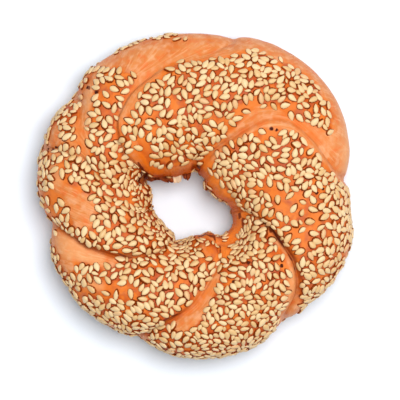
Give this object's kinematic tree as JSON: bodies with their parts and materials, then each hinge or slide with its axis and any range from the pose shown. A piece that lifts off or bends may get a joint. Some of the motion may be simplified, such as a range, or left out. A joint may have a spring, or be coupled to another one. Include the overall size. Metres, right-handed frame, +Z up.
{
  "type": "simit",
  "caption": "Baked ring of bread with an open hole, twisted from two strands of dough and coated in sesame seeds, resting on a flat sole.",
  "frame": {"origin": "on the table under the middle of the ring's bounding box", "axes": "+Z up through the hole, +Y towards the strand end at the top of the ring, +X to the right of it seen from above"},
  "size_m": [0.1168, 0.12, 0.0376],
  "materials": {
    "crust": "satin",
    "sesame": "satin"
  },
  "bodies": {
    "root": {"simit": "crust"}
  },
  "joints": []
}
